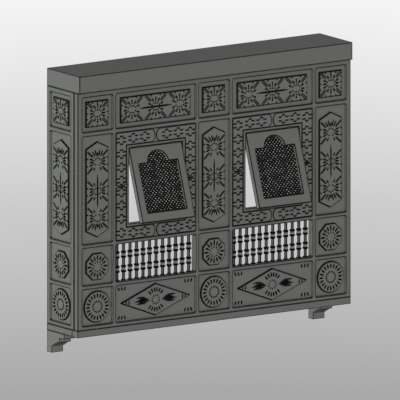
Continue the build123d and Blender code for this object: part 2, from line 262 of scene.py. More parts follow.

# %% [markdown]
# ## Lighter copies of the paint
# The sashes and brackets get a lighter copy of the paint, as painted light.  Slender
# pieces get a narrower painted shade line than the broad frame, or their own faces would
# drown in it, and the reveals inside the openings get none, and a lighter paint as painted
# light.

# %% Other paints
# lighter copies of the paint for the sashes and brackets: painted light
lit_copy_paint, lit_copy_light = "#6c6e6b", "#747673"
# a lighter paint for an open sash's sides and the reveals: painted light
painted_light_colour = "#8a8c88"
narrow_reach = 10 * MM
painted_sash = painted_timber("oil_painted_sash_timber", 2, lit_copy_paint, lit_copy_light,
                              lit_sides_paint=painted_light_colour)
painted_casing = painted_timber("oil_painted_casing_timber", 2, paint_colour, paint_light,
                                narrow_reach)
painted_bracket = painted_timber("oil_painted_bracket_timber", 1, lit_copy_paint, lit_copy_light,
                                 narrow_reach)
painted_beam = painted_timber("oil_painted_beam_timber", 0, paint_colour, paint_light,
                              narrow_reach)
# the reveals get a lighter paint and no shade line: painted light
lit_reveal_paint = painted_timber("oil_painted_reveals_painted_light", 2, paint_light, painted_light_colour,
                                reach=None)
# the grime printed here is the painted shade line along the edges
print("slender pieces have grime to", narrow_reach / MM, "mm from an edge")

# %% [markdown]
# ## Carved cuts and iron
# A carver's V-cuts are painted nearly black: partly the old stain and dust that they hold,
# and partly painted shade in the cuts.  The carved faces are painted like the frame, with a
# narrow painted shade line round each stroke.  The hinges are forged iron, blackened in
# oil: a metal, but dull, with a fine hammered skin.

# %% Cuts and iron
# near-black paint in the V-cuts: painted shade, with old stain
cut_shade_colour, cut_shade_light = "#0a0b0a", "#1a1b19"
stain_gloss = 0.05
shaded_stained_cut = painted_timber("carved_cuts_shade_and_stain", 2, cut_shade_colour, cut_shade_light,
                             gloss=stain_gloss)
carved_reach = 8.5 * MM
panel_paint, panel_light = "#6a6c69", "#717370"
carved_x = painted_timber("oil_painted_carving_grain_x", 0, panel_paint, panel_light,
                          carved_reach)
carved_z = painted_timber("oil_painted_carving_grain_z", 2, panel_paint, panel_light,
                          carved_reach)

iron_colour = "#4a4a49"
iron_roughness = (0.42, 0.58)
hammer_mark, hammer_depth = 6 * MM, 0.2 * MM
blackened_iron, tree = new_tree("oil_blackened_forged_iron")
place = add_node(tree, "TexCoord").outputs["Object"]
hammer = add_node(tree, "TexNoise", {"Vector": place, "Scale": 1 / hammer_mark})
dent = add_node(tree, "Bump", {"Height": hammer.outputs["Fac"], "Distance": hammer_depth})
sheen = add_node(tree, "MapRange", {"Value": hammer.outputs["Fac"],
                                    "To Min": iron_roughness[0], "To Max": iron_roughness[1]})
metal = add_node(tree, "BsdfPrincipled", {"Base Color": linear(iron_colour), "Metallic": 1.0,
                                          "Roughness": sheen.outputs["Result"],
                                          "Normal": dent.outputs["Normal"]})
add_node(tree, "OutputMaterial", {"Surface": metal.outputs["BSDF"]})
print("materials:", [material.name for material in bpy.data.materials])

# %% [markdown]
# ## Reading the frame
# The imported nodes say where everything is.  A node may hold several solids, such as five
# rails, so a small function joins the split corners of its mesh, follows the edges from
# corner to corner and gives the box of each separate solid.

# %% Solids of a node
weld_distance = 0.01 * MM


def welded(name):
    """A copy of a CAD node's mesh, with the corners of its faces joined."""
    solid = bmesh.new()
    solid.from_mesh(nodes[name].data)
    bmesh.ops.remove_doubles(solid, verts=solid.verts, dist=weld_distance)
    return solid


def box_of(points):
    """The lowest and the highest corner of some points."""
    return (Vector([min(p[axis] for p in points) for axis in range(3)]),
            Vector([max(p[axis] for p in points) for axis in range(3)]))


def solids_of(name):
    """The box of each solid of a CAD node, from left to right."""
    solid, boxes = welded(name), []
    waiting = set(solid.verts)
    while waiting:
        reached, points = [waiting.pop()], []
        while reached:
            vert = reached.pop()
            points.append(vert.co.copy())
            near = {edge.other_vert(vert) for edge in vert.link_edges} & waiting
            waiting -= near
            reached += near
        boxes.append(box_of(points))
    solid.free()
    return sorted(boxes, key=lambda box: [round(c, 4) for c in box[0]])


print("front stiles start at x =", [round(low.x, 3) for low, _ in solids_of("front_stiles")])

# %% [markdown]
# ## A finished piece
# Every piece that is made here ends in the same few steps: the bmesh becomes a mesh with
# its finishes, the mesh becomes an object, and the object rides on the bay's one body and
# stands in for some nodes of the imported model.  Two small functions do that.

# %% Finished pieces
def mesh_of(name, body, materials=()):
    """A mesh from a bmesh, with its finishes in the order of their numbers."""
    mesh = bpy.data.meshes.new(name)
    body.to_mesh(mesh)
    body.free()
    for material in materials:
        mesh.materials.append(material)
    return mesh


def finished_piece(name, mesh, replaced):
    """Put a mesh in the scene on the bay's one body, in place of some CAD nodes."""
    piece = placed(name, mesh)
    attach(piece, "root")
    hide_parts(*replaced)
    print(name, "has", len(mesh.polygons), "faces")
    return piece


# %% [markdown]
# ## Framing without seams
# The stiles and rails of the real bay are jointed and then painted over, so no line
# shows where a rail runs into a stile.  Boards that merely touch would each get their
# own painted shade lines at their edges.  So the boards of one frame are merged: space is
# cut into cells along every face of every board, the cells inside a board are filled, and
# only the faces between a filled and an empty cell are made.  Each face keeps the grain of
# the board that it came from.

# %% Cells of a frame
grid_digits = 5                          # places are rounded to a hundredth of a millimetre
cell_steps = [(axis, step) for axis in range(3) for step in (-1, 1)]


def grid_of(boxes):
    """The places along each axis where a face of some box lies."""
    return [sorted({round(corner[axis], grid_digits) for box in boxes for corner in box})
            for axis in range(3)]


def cells_in(cuts, low, high):
    """The cells of a grid that lie between two corners."""
    spans = [[i for i, (start, end) in enumerate(zip(cuts[axis], cuts[axis][1:]))
              if low[axis] < (start + end) / 2 < high[axis]] for axis in range(3)]
    return [(i, j, k) for i in spans[0] for j in spans[1] for k in spans[2]]


def filled_cells(cuts, boxes, quirks):
    """Each cell inside a board and outside the quirks, with the axis of its grain."""
    filled = {}
    for low, high in boxes:
        grain = max(range(3), key=lambda axis: high[axis] - low[axis])
        filled.update(dict.fromkeys(cells_in(cuts, low, high), grain))
    for quirk in quirks:
        for cell in cells_in(cuts, *quirk):
            filled.pop(cell, None)
    return filled


def cell_walls(filled, cuts, through):
    """Faces between filled and empty cells; through is the axis of the openings."""
    body, corners = bmesh.new(), {}
    for cell, grain in filled.items():
        for axis, step in cell_steps:
            if tuple(c + step if a == axis else c for a, c in enumerate(cell)) in filled:
                continue
            ring = []
            for along, across in ((0, 0), (1, 0), (1, 1), (0, 1)):
                corner = list(cell)
                corner[axis] += step > 0
                corner[(axis + 1) % 3] += along
                corner[(axis + 2) % 3] += across
                key = tuple(corner)
                if key not in corners:
                    corners[key] = body.verts.new([cuts[a][key[a]] for a in range(3)])
                ring.append(corners[key])
            place = cuts[axis][cell[axis] + (step > 0)]
            in_opening = axis != through and cuts[axis][0] < place < cuts[axis][-1]
            reveal = through is not None and in_opening
            # reveal faces take the lighter paint: painted light
            body.faces.new(ring).material_index = len(painted) if reveal else grain
    bmesh.ops.recalc_face_normals(body, faces=body.faces)
    return body


print("a cell has", len(cell_steps), "neighbours")

# %% [markdown]
# ## Softened edges
# No edge of old joinery is quite sharp.  Every arris gets a narrow chamfer, as sandpaper
# leaves it, and the inner corners of the openings are rounded, as a small gouge leaves
# them.  The corners round a window surround stay square, because a board is let into
# them.

# %% Softened edges
arris_width = 0.8 * MM
corner_round, corner_segments = 13 * MM, 3
parallel, inward_fold = 0.99, -0.5       # an edge's share of an axis, and an angle


def soften_arrises(piece):
    """A narrow chamfer on every real edge, as a rubbed down arris has."""
    arris = piece.modifiers.new("arris", "BEVEL")
    arris.width = arris_width
    arris.segments = 1
    arris.limit_method = "ANGLE"


def round_corners(body, through, square_corners):
    """Round the inner corners of the openings, apart from the square ones."""
    inner = []
    for edge in body.edges:
        way = edge.verts[1].co - edge.verts[0].co
        place = edge.verts[0].co.copy()
        place[through] = 0
        if (abs(way[through]) > parallel * way.length
                and edge.calc_face_angle_signed() < inward_fold
                and all((place - corner).length > corner_round for corner in square_corners)):
            inner.append(edge)
    bmesh.ops.bevel(body, geom=inner, offset=corner_round, segments=corner_segments,
                    profile=0.5, affect="EDGES")


def merged_boards(name, board_nodes, through=None, quirks=(), square_corners=()):
    """One closed piece from boards that meet face to face, less the quirks cut in them."""
    boxes = [box for node in board_nodes for box in solids_of(node)]
    cuts = grid_of(boxes + list(quirks))
    body = cell_walls(filled_cells(cuts, boxes, quirks), cuts, through)
    if through is not None:
        round_corners(body, through, square_corners)
    mesh = mesh_of(name, body, painted + [lit_reveal_paint])
    soften_arrises(finished_piece(name, mesh, board_nodes))


print("an arris is", arris_width / MM, "mm wide")

# %% [markdown]
# ## The frames and the cornice
# The front, each side return and the cornice are merged into one piece each.  Only a
# quirk, the narrow groove that sets each corner stile off from the side return, is kept
# out of the filled cells, because it is cut on purpose.

# %% Merged frames
quirk_width, quirk_depth = 11 * MM, 7 * MM
stile_low, stile_high = box_of([corner for box in solids_of("front_corner_stiles")
                                for corner in box])
quirks = []
for x in (stile_low.x, stile_high.x):
    inner = x - quirk_depth if x > 0 else x + quirk_depth
    quirks.append((Vector((min(x, inner), stile_high.y - quirk_width, stile_low.z)),
                   Vector((max(x, inner), stile_high.y, stile_high.z))))
square_corners = [Vector((x, 0, z)) for side in ("left", "right")
                  for low, high in solids_of(f"window_surround_{side}")
                  for x in (low.x, high.x) for z in (low.z, high.z)]
merged_boards("front_frame", ["front_corner_stiles", "front_stiles", "front_bottom_rail",
                              "front_top_rail", "front_lower_rails", "front_middle_rails",
                              "front_upper_rails"], 1, quirks, square_corners)
for side in ("left", "right"):
    merged_boards(f"{side}_side_frame", [f"{side}_side_stiles", f"{side}_side_rails"], 0)
merged_boards("cornice_case", ["cornice_soffit", "cornice_top", "cornice_fascia",
                               "cornice_ends", "cornice_back_board"])

# %% [markdown]
# ## A face to carve on
# Every ornament is drawn flat, in millimetres, on the face of its panel: u to the right,
# v up, w out of the wood.  One matrix then stands that drawing on the front, on a side
# return or on a tilted sash, so each motif is written once.

# %% Faces
facing = {"front": (Vector((1, 0, 0)), Vector((0, -1, 0))),
          "left": (Vector((0, -1, 0)), Vector((-1, 0, 0))),
          "right": (Vector((0, 1, 0)), Vector((1, 0, 0)))}
up = Vector((0, 0, 1))


def standing(right, rise, out, origin):
    """The matrix that takes millimetres on a face to the bay's metres."""
    columns = [axis * MM for axis in (right, rise, out)]
    matrix = Matrix(columns).transposed().to_4x4()
    matrix.translation = origin
    return matrix


def face_of(box, side):
    """The middle of the outer face of a box, as a face to draw on."""
    low, high = box
    right, out = facing[side]
    origin = (low + high) / 2 + out * abs((high - low).dot(out)) / 2
    return standing(right, up, out, origin)


def corners_on(body, face, points):
    """New corners of a body at places (u, v, w) on a face."""
    return [body.verts.new(face @ Vector(point)) for point in points]


print("the first star panel's face is at", list(face_of(solids_of("star_panels")[0],
                                                          "front").translation))

# %% [markdown]
# ## The V-cut
# Nearly all of the carving is one stroke of one tool: a V-cut that starts at a point,
# deepens, and runs out to a point again.  Short and fat, it is a petal; long and narrow,
# it is a line; along a curve, it is a leaf.  So one function makes the wedge of waste
# for such a stroke, and booleans take the wedges out of the wood.  A boolean wants
# wedges that don't cross each other, so strokes that may cross go in separate layers.

# %% V-cuts
lip = 0.6                                # how far a wedge stands out of the wood
stroke_steps = 6
petals, lines, slits, rims = range(4)    # layers
petal_belly, leaf_belly, tick_belly, slit_belly, line_belly = 0.6, 0.4, 0.3, 0.2, 0.15


def along_path(path, share):
    """The point and the direction at a share of the way along a path."""
    runs = [hypot(b[0] - a[0], b[1] - a[1]) for a, b in zip(path, path[1:])]
    left = share * sum(runs)
    for (a, b), run in zip(zip(path, path[1:]), runs):
        if left <= run or (a, b) == (path[-2], path[-1]):
            break
        left -= run
    way = ((b[0] - a[0]) / run, (b[1] - a[1]) / run)
    return (a[0] + way[0] * left, a[1] + way[1] * left), way


def v_cut(waste, face, path, width, depth, belly=petal_belly, layer=petals):
    """Add the wedge that one V-cut along a path takes out of a face.

    With a large belly it swells in the middle, and with a small one it stays even.
    """
    body, rings = waste.layers[layer], []
    for step in range(stroke_steps + 1):
        (u, v), way = along_path(path, step / stroke_steps)
        swell = sin(pi * step / stroke_steps) ** belly
        if step in (0, stroke_steps):
            rings.append(corners_on(body, face, [(u, v, lip)]))
            continue
        half = swell * width * waste.broader / 2 * (1 + lip / depth)
        rings.append(corners_on(body, face, [(u - way[1] * half, v + way[0] * half, lip),
                                             (u + way[1] * half, v - way[0] * half, lip),
                                             (u, v, -depth * swell)]))
    for start, end in zip(rings, rings[1:]):
        for i in range(3):
            j = (i + 1) % 3
            corners = [start[i % len(start)], start[j % len(start)],
                       end[j % len(end)], end[i % len(end)]]
            body.faces.new(list(dict.fromkeys(corners)))


def spoke(waste, face, centre, angle, near, far, width, depth):
    """A straight V-cut that points away from a centre."""
    way = (cos(radians(angle)), sin(radians(angle)))
    path = [(centre[0] + way[0] * r, centre[1] + way[1] * r) for r in (near, far)]
    v_cut(waste, face, path, width, depth)


print("a stroke has", stroke_steps, "steps from point to point")

# %% [markdown]
# ## The waste and the rims
# What is cut from one node is gathered first, as a mesh for each layer.  The rim of each
# raised plaque is chamfered all round, which takes a wedge that runs in a ring and is
# mitred at the corners.

# %% Waste and rims
rim_width, rim_depth = 6.2, 6.0


def new_waste(broader=1.0):
    """An empty mesh for each layer of strokes, and how much broader its strokes are."""
    return SimpleNamespace(layers=[bmesh.new() for layer in (petals, lines, slits, rims)],
                           broader=broader)


def rim_cut(waste, face, outline, width=rim_width, depth=rim_depth, layer=rims):
    """Add the wedge that chamfers the rim of a raised plaque with the given corners."""
    body, rings = waste.layers[layer], []
    for before, (u, v), after in zip(outline[-1:] + outline[:-1], outline,
                                     outline[1:] + outline[:1]):
        run = [Vector((v - before[1], before[0] - u)).normalized(),
               Vector((after[1] - v, u - after[0])).normalized()]
        mitre = (run[0] + run[1]) / (1 + run[0].dot(run[1])) * width * (1 + lip / depth)
        rings.append(corners_on(body, face, [(u + mitre.x, v + mitre.y, lip),
                                             (u - mitre.x, v - mitre.y, lip),
                                             (u, v, -depth)]))
    for start, end in zip(rings[-1:] + rings[:-1], rings):
        for i in range(3):
            j = (i + 1) % 3
            body.faces.new([start[i], start[j], end[j], end[i]])


print("a rim is chamfered", rim_width, "mm wide")

# %% [markdown]
# ## The star
# Half of the panels share one ornament, a star.  Its middle is left plain.  A ring of
# small dots surrounds it, then a ring of petals that point outwards, and a pair of
# parallel lines runs in from each corner of the star's cell.  Each number below is given
# for one quarter of the star and mirrored into the other three.

# %% Star
petal_depth, petal_width = 8.0, 13.5
line_depth, line_width = 7.0, 5.2
dot_length, dot_width = 13.0, 11.0
star_reach = 120.0
star_petals = [(0, 46, 95), (23, 58, 98), (62, 54, 94)]      # angle, near, far
upright_petals = [(90, 52, 66), (90, 70, 98)]
star_dots = [(22, 46), (56, 40), (90, 33)]                   # angle, radius
corner_start, corner_end, corner_gap = 0.42, 1.03, 8.0


def mirrored(angle):
    """The same angle in each quarter, without doubles on the axes."""
    return sorted({angle % 360, -angle % 360, (180 - angle) % 360, (180 + angle) % 360})


def star(waste, face, centre, reach, level=True, upright=True, petals_at=star_petals,
         gap=corner_gap, line=line_width):
    """One star in a cell that reaches so far from its centre, across and up."""
    scale = min(reach) / star_reach
    rays = [ray for ray in petals_at if ray[0] or level] + upright_petals * upright
    for angle, near, far in rays:
        for way in mirrored(angle):
            spoke(waste, face, centre, way, near * scale, far * scale, petal_width, petal_depth)
    for angle, radius in star_dots:
        if angle == 90 and not upright:
            continue
        for way in mirrored(angle):
            near = radius * scale - dot_length / 2
            spoke(waste, face, centre, way, near, near + dot_length, dot_width, petal_depth)
    for across in (-1, 1):
        for rise in (-1, 1):
            length = hypot(*reach)
            off = (-rise * reach[1] / length * gap, across * reach[0] / length * gap)
            for side in (-1, 1):
                path = [(centre[0] + across * reach[0] * share + side * off[0],
                         centre[1] + rise * reach[1] * share + side * off[1])
                        for share in (corner_start, corner_end)]
                v_cut(waste, face, path, line, line_depth, line_belly, lines)


print("a star has", sum(len(mirrored(p[0])) for p in star_petals), "petals and",
      sum(len(mirrored(d[0])) for d in star_dots), "dots")

# %% [markdown]
# ## The star and hexagon panels
# The square panel holds one star, with short ticks that run in from its rim.  The long
# hexagon holds three stars in a row and a slit between them.  Its stars have steep
# petals at the top and the bottom, and the ones at its two ends reach into the points.

# %% Star and hexagon panels
tick_width, tick_inset, tick_rise, tick_run = 10.0, 8.0, 14.0, 13.0
star_border = 42.0                       # from the panel's edge to the plaque's rim
star_centre, star_cell = (2, 5), (119, 112)
star_ticks_across, star_ticks_up = (-56, 0, 56), (-45, 10, 65)
hexagon_end, hexagon_shoulder = 57.0, 63.0
hexagon_axis, hexagon_cell = 1, (112, 103)
hexagon_stars = [256, -17, -264]
hexagon_petals = [(0, 50, 102), (21, 58, 112)]
hexagon_gap, hexagon_line = 4.5, 4.2
steep_petals, apex_petals = (62, 118), (60, 76, 104, 120)    # angles
steep_near, steep_far, apex_far, steep_width = 56, 92, 118, 10.5
hexagon_tick_inset, hexagon_tick_lifts, hexagon_tick_run = 9, (34, -34), 15
apex_dot, apex_petal = (30, 44), (52, 92)                    # from the end star's middle
hexagon_slit, slit_width = (-177, 153), 11.0


def tick(waste, face, u, v, across, rise):
    """A short straight stroke from a place by so much across and up."""
    v_cut(waste, face, [(u, v), (u + across, v + rise)], tick_width, line_depth, tick_belly)


def rectangle(half_width, half_height):
    """Corners of an upright rectangle, counted clockwise."""
    return [(-half_width, -half_height), (-half_width, half_height),
            (half_width, half_height), (half_width, -half_height)]


def star_panel(waste, face, size):
    """One star in a square rim."""
    half_width, half_height = size[0] / 2 - star_border, size[1] / 2 - star_border
    rim_cut(waste, face, rectangle(half_width, half_height))
    star(waste, face, star_centre, star_cell)
    for side in (-1, 1):
        for u in star_ticks_across:
            tick(waste, face, u, side * (half_height - tick_inset), 0, -side * tick_rise)
        for v in star_ticks_up:
            tick(waste, face, side * (half_width - tick_inset), v, -side * tick_run, 0)


def hexagon_panel(waste, face, size):
    """Three stars one above the other in a hexagon with its points up and down."""
    half, tip = size[0] / 2 - star_border, size[1] / 2 - hexagon_end
    shoulder = tip - hexagon_shoulder
    rim_cut(waste, face, [(0, tip), (half, shoulder), (half, -shoulder),
                          (0, -tip), (-half, -shoulder), (-half, shoulder)])
    for height in hexagon_stars:
        centre = (hexagon_axis, height)
        star(waste, face, centre, hexagon_cell, upright=False,
             petals_at=hexagon_petals, gap=hexagon_gap, line=hexagon_line)
        for end in (-1, 1):
            apex = height == hexagon_stars[0 if end > 0 else -1]
            for angle in apex_petals if apex else steep_petals:
                spoke(waste, face, centre, end * angle, steep_near,
                      apex_far if apex else steep_far, steep_width, petal_depth)
        for side in (-1, 1):
            for lift in hexagon_tick_lifts:
                tick(waste, face, side * (half - hexagon_tick_inset), height + lift,
                     -side * hexagon_tick_run, 0)
    for end, height in ((1, hexagon_stars[0]), (-1, hexagon_stars[-1])):
        for ends, width in ((apex_dot, dot_width), (apex_petal, petal_width)):
            path = [(hexagon_axis, height + end * lift) for lift in ends]
            v_cut(waste, face, path, width, petal_depth)
    v_cut(waste, face, [(hexagon_axis, end) for end in hexagon_slit], slit_width, line_depth,
          slit_belly, slits)


print("a hexagon holds", len(hexagon_stars), "stars")

# %% [markdown]
# ## The rosettes
# The octagon and the roundel are rosettes: one ring of petals round a ring of dots.  An
# even ring is a number of strokes that point away from the middle, so one function makes
# it.  The octagon's petals differ in length, so they are listed one by one, again for one
# quarter.

# %% Rosettes
octagon_across, octagon_drop, octagon_corners = 246.0, 8.0, 8
octagon_petals = [(0, 60, 114), (24, 58, 104), (45, 60, 112), (67, 58, 104), (90, 60, 110)]
octagon_dots, octagon_dot_start, octagon_dot_ring = 10, 18, (38, 51)
roundel_radius, roundel_corners = 145.0, 64
roundel_petals, roundel_petal_ring = 20, (82, 127)
roundel_dots, roundel_dot_start, roundel_dot_ring = 16, 11, (42, 57)
small_dot_width = 10.0


def around(count, radius, start=0.0, centre=(0, 0)):
    """Corners of a regular outline, counted clockwise."""
    return [(centre[0] + radius * cos(start - 2 * pi * k / count),
             centre[1] + radius * sin(start - 2 * pi * k / count)) for k in range(count)]


def rosette(waste, face, centre, count, start, ring, width):
    """Equal strokes all round a centre, from the ring's inner to its outer radius."""
    for number in range(count):
        spoke(waste, face, centre, start + number * 360 / count, *ring, width, petal_depth)


def octagon_panel(waste, face, size):
    """A rosette with uneven petals in an octagon, a little under the panel's middle."""
    centre, turn = (0, -octagon_drop), pi / octagon_corners
    rim_cut(waste, face, around(octagon_corners, octagon_across / 2 / cos(turn), turn, centre))
    for angle, near, far in octagon_petals:
        for way in mirrored(angle):
            spoke(waste, face, centre, way, near, far, petal_width, petal_depth)
    rosette(waste, face, centre, octagon_dots, octagon_dot_start, octagon_dot_ring, dot_width)


def roundel_panel(waste, face, size):
    """A rosette in a round rim."""
    centre = (0, 0)
    rim_cut(waste, face, around(roundel_corners, roundel_radius))
    rosette(waste, face, centre, roundel_petals, 0, roundel_petal_ring, petal_width)
    rosette(waste, face, centre, roundel_dots, roundel_dot_start, roundel_dot_ring,
            small_dot_width)


print("the roundel has", roundel_petals, "petals round", roundel_dots, "dots")

# %% [markdown]
# ## The wide panels
# The upper one holds three stars side by side, joined by a long slit.  The lower one
# holds a lozenge with a small rosette between two sprays of leaves, and a few slanting
# strokes on the ground outside each of its corners.

# %% Wide panels
wide_border = 53.0
wide_star_pitch, wide_star_cell = 262.0, (116, 112)
wide_ticks_across, wide_ticks_up = (-48, 48), (-50, 45)
wide_end_petal = ((314, -3), (354, -6))
wide_slit, wide_slit_width = 186.0, 14.0
lozenge_reach = (382.0, 148.0)
lozenge_petals, lozenge_petal_ring = (45, 64, 82, 98, 116, 135), (70, 116)
lozenge_dots, lozenge_dot_start, lozenge_dot_ring = 10, 18, (33, 46)
leaf_rows = [(-27, 112, 214), (-15, 86, 190), (-4, 60, 236), (7, 72, 205), (18, 92, 182),
             (31, 115, 218)]             # height, near, far
leaf_bow, leaf_width = 2, 10.0
lozenge_bars, bar_width = ((294, 22), (324, 13)), 9.0        # place, half length
plaque_height = 14.0
corner_strokes = [(40, -9), (74, -4), (108, 4)]              # from the panel's end, lean
corner_stroke_span = (115, 152)


def triple_star_panel(waste, face, size):
    """Three stars side by side in a long rim."""
    half_width, half_height = size[0] / 2 - wide_border, size[1] / 2 - star_border
    rim_cut(waste, face, rectangle(half_width, half_height))
    for number in (-1, 0, 1):
        centre = (number * wide_star_pitch, 0)
        star(waste, face, centre, wide_star_cell, level=False)
        for side in (-1, 1):
            for u in wide_ticks_across:
                tick(waste, face, centre[0] + u, side * (half_height - tick_inset), 0,
                     -side * tick_rise)
    for side in (-1, 1):
        v_cut(waste, face, [(side * u, v) for u, v in wide_end_petal], petal_width, petal_depth)
        for v in wide_ticks_up:
            tick(waste, face, side * (half_width - tick_inset), v, -side * tick_run, 0)
    v_cut(waste, face, [(-wide_slit, 0), (wide_slit, 0)], wide_slit_width, line_depth,
          slit_belly, slits)


def lozenge_panel(waste, face, size):
    """A rosette between two sprays of leaves in a lozenge, with strokes in the corners."""
    across, rise = lozenge_reach
    rim_cut(waste, face, [(-across, 0), (0, rise), (across, 0), (0, -rise)])
    for angle in lozenge_petals:
        for side in (-1, 1):
            spoke(waste, face, (0, 0), side * angle, *lozenge_petal_ring, petal_width,
                  petal_depth)
    rosette(waste, face, (0, 0), lozenge_dots, lozenge_dot_start, lozenge_dot_ring,
            small_dot_width)
    for side in (-1, 1):
        for height, near, far in leaf_rows:
            path = [(side * near, height), (side * (near + far) / 2, height + leaf_bow),
                    (side * far, height)]
            v_cut(waste, face, path, leaf_width, petal_depth, leaf_belly)
        for u, half in lozenge_bars:
            v_cut(waste, face, [(side * u, -half), (side * u, half)], bar_width, line_depth,
                  tick_belly)
    ground = face @ Matrix.Translation((0, 0, -plaque_height))
    low, high = corner_stroke_span
    for side in (-1, 1):
        for end in (-1, 1):
            for inset, lean in corner_strokes:
                u = side * (size[0] / 2 - inset)
                path = [(u + side * lean, end * low), (u - side * lean, end * high)]
                v_cut(waste, ground, path, petal_width, petal_depth)


print("a lozenge has", 2 * len(leaf_rows), "leaves")

# %% [markdown]
# ## Carving the panels
# The blank of each panel is the imported solid itself, so the plaques keep their outlines
# and their depth.  The wedges of all the panels in a node are cut together, one layer
# after another, with the Manifold solver, which is fast and keeps closed solids closed.
# Faces that slope into the wood are the new cuts, and get the near-black material: painted shade and
# stain.

# %% Carved panels
cut_slope = (0.05, 0.98)                 # how far a cut's faces look out of the wood
return_strokes = 1.35                    # broader, because a return is seen at a slant


def flat_mesh(name, body, materials=()):
    """A mesh from a bmesh, with outward normals and flat faces."""
    bmesh.ops.recalc_face_normals(body, faces=body.faces)
    for face in body.faces:
        face.smooth = False
        face.material_index = 0
    return mesh_of(name, body, materials)


def less_waste(blank_mesh, waste_mesh):
    """The blank with one layer of wedges taken out."""
    blank, cutter = placed("blank", blank_mesh), placed("waste", waste_mesh)
    cut = blank.modifiers.new("cut", "BOOLEAN")
    cut.object, cut.operation, cut.solver = cutter, "DIFFERENCE", "MANIFOLD"
    shaped = blank.evaluated_get(bpy.context.evaluated_depsgraph_get())
    mesh = bpy.data.meshes.new_from_object(shaped)
    for helper in (blank, cutter):
        bpy.data.objects.remove(helper)
    return mesh


def carved(node, waste, side, timber):
    """Carve a node on the faces that look to a side, and paint what is cut near black: shade and stain.
    """
    name, out = f"{node}_carved", facing[side][1]
    mesh = flat_mesh(name, welded(node))
    for layer in waste.layers:
        if layer.verts:
            mesh = less_waste(mesh, flat_mesh("waste", layer))
    mesh.name = name
    mesh.materials.clear()
    for material in (timber, shaded_stained_cut):
        mesh.materials.append(material)
    low, high = cut_slope
    for polygon in mesh.polygons:
        polygon.material_index = int(low < abs(polygon.normal.dot(out)) < high)
    finished_piece(name, mesh, [node])


narrow_motifs = {"star": star_panel, "hexagon": hexagon_panel, "octagon": octagon_panel,
                 "roundel": roundel_panel}                   # from the top down
wide_motifs = {"triple_star": triple_star_panel, "lozenge": lozenge_panel}
for kind, motif in narrow_motifs.items():
    waste = new_waste()
    for box in solids_of(f"{kind}_panels"):
        motif(waste, face_of(box, "front"), (box[1] - box[0]).xz / MM)
    carved(f"{kind}_panels", waste, "front", carved_z)

for side in ("left", "right"):
    waste = new_waste(return_strokes)
    column = sorted(solids_of(f"{side}_side_panels"), key=lambda box: -box[0].z)
    for box, motif in zip(column, narrow_motifs.values()):
        motif(waste, face_of(box, side), (box[1] - box[0]).yz / MM)
    carved(f"{side}_side_panels", waste, side, carved_z)
    for kind, motif in wide_motifs.items():
        waste = new_waste()
        box = solids_of(f"{kind}_panel_{side}")[0]
        motif(waste, face_of(box, "front"), (box[1] - box[0]).xz / MM)
        carved(f"{kind}_panel_{side}", waste, "front", carved_x)

# %% [markdown]
# ## The window surrounds
# Four L-shaped strips frame each window.  A running scroll is carved on them in two
# mirrored rows: a level stroke, a curl that swells outwards, and a level stroke again.
# Over and under the window the scroll runs along the strip, and beside the window it
# crosses the strip, once for each repeat.  The rims of the strips are chamfered like the
# plaques.  The rims of an upper and a lower strip cross where the two meet, so they go
# in different layers.

# %% Window surrounds
strip_side, strip_top, strip_bottom, strip_gap = 117.0, 125.0, 118.0, 2.0
strip_rim_width, strip_rim_depth = 4.5, 5.0
level_end, level_end_gap = 40.0, 7.0
upright_end, upright_end_gap = 28.0, 1.0
end_steps = 12                           # in the half round at an end of a strip
row_offset = 17.0
scroll_width, scroll_belly = 9.5, 0.3
curl_points = ((-20, 9), (-9, 22), (6, 22), (19, 9))         # along and away from a row
level_strokes = ((64, 104), (139, 180), (194, 231), (263, 305))
level_curls = (121, 247)                 # from the middle of the window outwards
upright_scrolls = (55, 176, 300)         # from the middle of the window up or down
upright_strokes = ((2, 44), (70, 112))
upright_curls = (61,)                    # from the outer edge of the strip inwards
corner_drop = 10.0


def scroll_row(waste, face, strokes, curls, place):
    """One row of a scroll; place puts a point (along, away) of the row on the face."""
    for start, end in strokes:
        v_cut(waste, face, [place(start, 0), place(end, 1)], scroll_width, petal_depth,
              scroll_belly)
    for middle in curls:
        path = [place(middle + along, away) for along, away in curl_points]
        v_cut(waste, face, path, scroll_width, petal_depth, scroll_belly, lines)


def strip_outline(size, across, rise):
    """The outline of one L-shaped strip, in the given corner of a surround."""
    half_width, half_height = size[0] / 2, size[1] / 2
    edge = half_width - strip_gap
    head = half_height - strip_gap
    inner = half_width - strip_side + strip_gap
    under = half_height - (strip_top if rise > 0 else strip_bottom) + strip_gap
    arcs = [pi * step / end_steps - pi / 2 for step in range(end_steps + 1)]
    level = [(level_end_gap + level_end * (1 - cos(arc)),
              (head + under) / 2 + (head - under) / 2 * sin(arc)) for arc in arcs]
    upright = [((edge + inner) / 2 - (edge - inner) / 2 * sin(arc),
                upright_end_gap + upright_end * (1 - cos(arc))) for arc in arcs]
    corners = [(inner, under)] + level + [(edge, head)] + upright
    return [(across * u, rise * v) for u, v in corners]


def surround_carving(waste, face, size):
    """The scrolls and rims of one surround, drawn from the middle of its face."""
    half_width, half_height = size[0] / 2, size[1] / 2
    outer = half_width - strip_gap
    for across, rise in product((-1, 1), repeat=2):
        rim_cut(waste, face, strip_outline(size, across, rise), strip_rim_width,
                strip_rim_depth, rims if rise > 0 else slits)
        middle = half_height - (strip_top if rise > 0 else strip_bottom) / 2
        for row in (-1, 1):
            scroll_row(waste, face, level_strokes, level_curls,
                       lambda along, away: (across * along,
                                            rise * middle + row * (row_offset + away)))
            for height in (*upright_scrolls, middle - corner_drop):
                scroll_row(waste, face, upright_strokes, upright_curls,
                           lambda along, away: (across * (outer - along),
                                                rise * height + row * (row_offset + away)))


for side in ("left", "right"):
    waste = new_waste()
    box = solids_of(f"window_surround_{side}")[0]
    surround_carving(waste, face_of(box, "front"), (box[1] - box[0]).xz / MM)
    carved(f"window_surround_{side}", waste, "front", carved_x)
